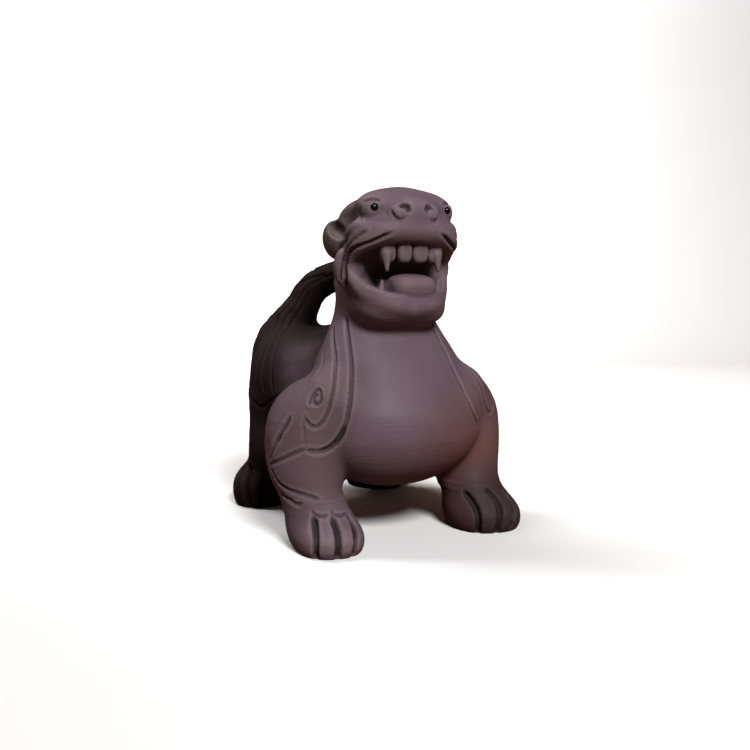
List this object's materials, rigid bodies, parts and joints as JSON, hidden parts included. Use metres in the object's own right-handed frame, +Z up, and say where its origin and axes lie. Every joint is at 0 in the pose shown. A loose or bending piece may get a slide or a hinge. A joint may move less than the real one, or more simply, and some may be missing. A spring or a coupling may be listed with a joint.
{
  "type": "ceramic animal figurine",
  "caption": "Squatting mythical beast in unglazed clay, mouth open over a round belly, tail curled forward to its nape.",
  "frame": {"origin": "on the table, under the middle of the closing box", "axes": "+Z up; the beast looks along -Y, and its own left is +X"},
  "size_m": [0.0684, 0.0804, 0.0898],
  "materials": {
    "clay": "unglazed, matte, purple-brown",
    "bead": "polished black"
  },
  "bodies": {
    "root": {"figure": "clay", "eye_right": "bead", "eye_left": "bead"}
  },
  "joints": []
}
